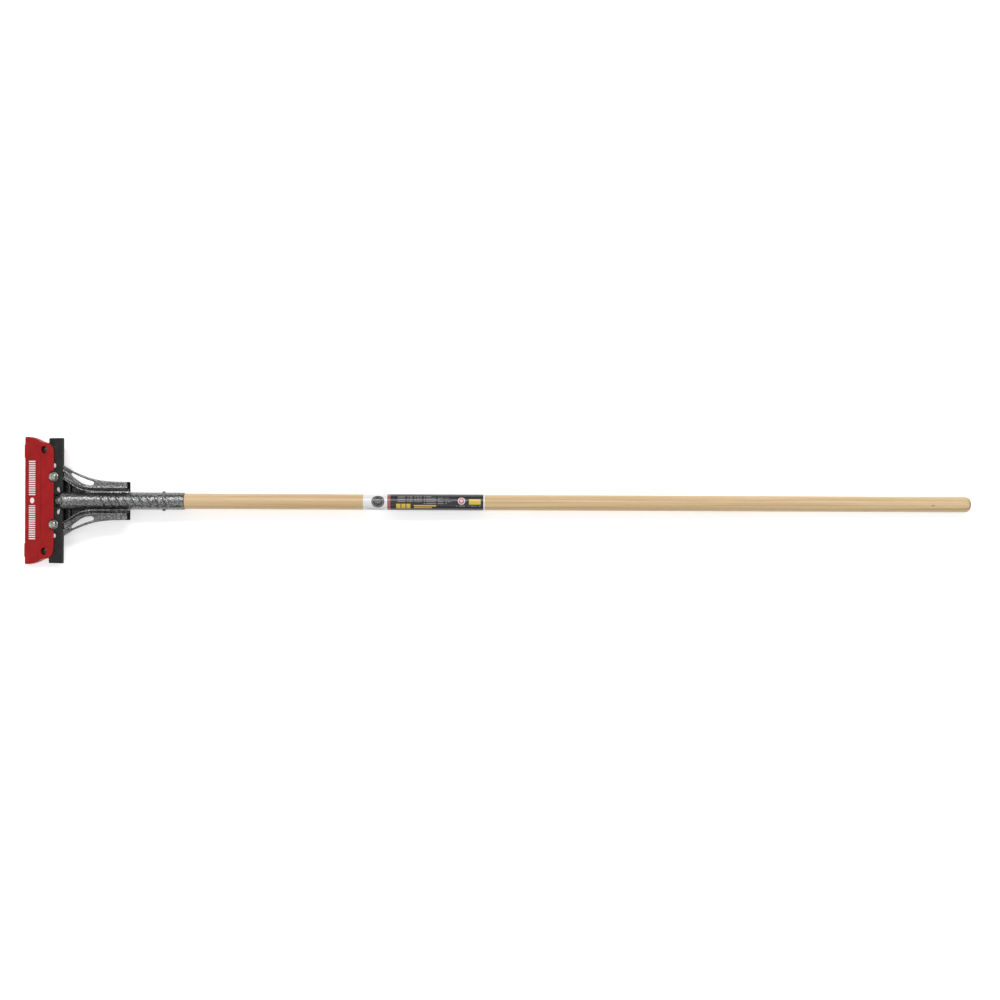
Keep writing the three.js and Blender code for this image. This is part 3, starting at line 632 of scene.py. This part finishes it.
def make_washers():
    for kind in ("top_washer", "under_washer"):
        for name, side in SIDES.items():
            low, high = extent(f"{kind}_{name}")
            inner, outer, edge = WASHER_HOLE, (high.y - low.y) / 2, 0.35
            profile = [[low.z, inner], [low.z, outer - edge], [low.z + edge, outer]]
            profile += [[high.z - edge, outer], [high.z, outer - edge], [high.z, inner]]
            ring = lathe(f"flat_{kind}_{name}", profile, upright_at(0, side * BOLT_Y), 64)
            register(ring, "tool", "fastener_zinc", f"{kind}_{name}")


def make_castings_and_mouldings():
    rounded = [
        ("winged_socket", "socket_casting", 0.75, 5, "tool", "hammertone_grey"),
        ("black_clamp_bar", "clamp_bar", 0.6, 3, "tool", "bar_black"),
        ("guard_lid_shell", "guard_upper", 0.5, 3, "guard_lid", "guard_red"),
        ("guard_tray", "guard_lower", 0.5, 3, "guard_base", "guard_red"),
        ("hinge_roll_left", "hinge_strap_left", 0.2, 2, "guard_base", "guard_red"),
        ("hinge_roll_right", "hinge_strap_right", 0.2, 2, "guard_base", "guard_red"),
    ]
    for name, node, voxel, passes, body, slot in rounded:
        register(rounded_copy(name, node, voxel, passes), body, slot, node)


def dress_cad_nodes():
    """The blade, the nuts and their inserts keep their CAD solids, with fine bevels."""
    dressed = {"blade": "blade_steel"}
    for name in SIDES:
        dressed[f"lock_nut_{name}"] = "fastener_zinc"
        dressed[f"nut_insert_{name}"] = "nylon_insert"
    for node, slot in dressed.items():
        obj = frame["nodes"][node]
        obj.data.materials.clear()
        obj.data.materials.append(MATERIALS[slot])
        bevel = obj.modifiers.new("edge", "BEVEL")
        bevel.width = 0.15 * MM
        bevel.segments = 2
        bevel.limit_method = "ANGLE"
        bevel.angle_limit = math.radians(35)


# ---------------------------------------- studio
def make_floor():
    """Pale light table, so that the floor stays pale under the tool too."""
    half = 6.0
    corners = [(-half, -half, 0), (half, -half, 0), (half, half, 0), (-half, half, 0)]
    mesh = bpy.data.meshes.new("floor")
    mesh.from_pydata(corners, [], [(0, 1, 2, 3)])
    floor = new_object("floor", mesh)
    surface = Surface("floor_paint", Matrix.Identity(4), specular=0.1)
    mottle = surface.noise(3, 2)
    tone = surface.ramp(mottle, (0.3, (0.88, 0.88, 0.88)), (0.7, (0.90, 0.90, 0.90)))
    surface.shader.inputs["Emission Color"].default_value = (1, 1, 1, 1)
    surface.shader.inputs["Emission Strength"].default_value = 0.45
    floor.data.materials.append(surface.finish(tone, 0.9))


def area_light(name, place, target, size, power):
    light = bpy.data.lights.new(name, "AREA")
    light.shape = "RECTANGLE"
    light.size, light.size_y = size
    light.energy = power
    obj = bpy.data.objects.new(name, light)
    bpy.context.scene.collection.objects.link(obj)
    obj.location = place
    obj.rotation_euler = (Vector(target) - Vector(place)).to_track_quat("-Z", "Y").to_euler()


def make_world():
    """Soft light from overhead that falls off towards the horizon."""
    world = bpy.data.worlds.new("studio")
    world.use_nodes = True
    nodes, links = world.node_tree.nodes, world.node_tree.links
    at_horizon, overhead, dim, bright = 0.25, 0.8, 0.03, 0.8
    direction = nodes.new("ShaderNodeTexCoord")
    parts = nodes.new("ShaderNodeSeparateXYZ")
    links.new(direction.outputs["Generated"], parts.inputs[0])
    rise = nodes.new("ShaderNodeMapRange")
    for target, number in zip(rise.inputs[1:5], (at_horizon, overhead, dim, bright)):
        target.default_value = number
    links.new(parts.outputs["Z"], rise.inputs[0])
    background = nodes["Background"]
    background.inputs["Color"].default_value = (1, 1, 1, 1)
    links.new(rise.outputs[0], background.inputs["Strength"])
    bpy.context.scene.world = world


def make_lights():
    area_light("key", (0.0, 3.2, 4.9), (0, 0, 0), (6.8, 0.9), 225)
    area_light("fill", (0.0, -5.2, 4.8), (0, 0, 0), (7.0, 1.6), 45)
    make_world()
    bpy.context.scene.view_settings.view_transform = "Standard"


def make_camera():
    """Overhead camera above the middle of the tool, turned very slightly about its view line."""
    height_over_axis = 2.5
    width_at_axis = 1.618
    ahead_of_bolts, aside, roll = 0.7231, 0.0042, 0.254
    sensor = 36.0
    bolt_line = HEAD.to_translation()
    data = bpy.data.cameras.new("camera")
    data.sensor_width = sensor
    data.lens = sensor * height_over_axis / width_at_axis
    data.clip_end = 50
    camera = bpy.data.objects.new("camera", data)
    height = bolt_line.z + AXIS_RISE + height_over_axis
    camera.location = (bolt_line.x + ahead_of_bolts, aside, height)
    camera.rotation_euler = (0, 0, math.radians(roll))
    bpy.context.scene.collection.objects.link(camera)
    bpy.context.scene.camera = camera


make_camera()
make_handle()
make_label()
make_rivet()
make_studs()
make_bolts()
make_washers()
make_castings_and_mouldings()
dress_cad_nodes()
make_floor()
make_lights()
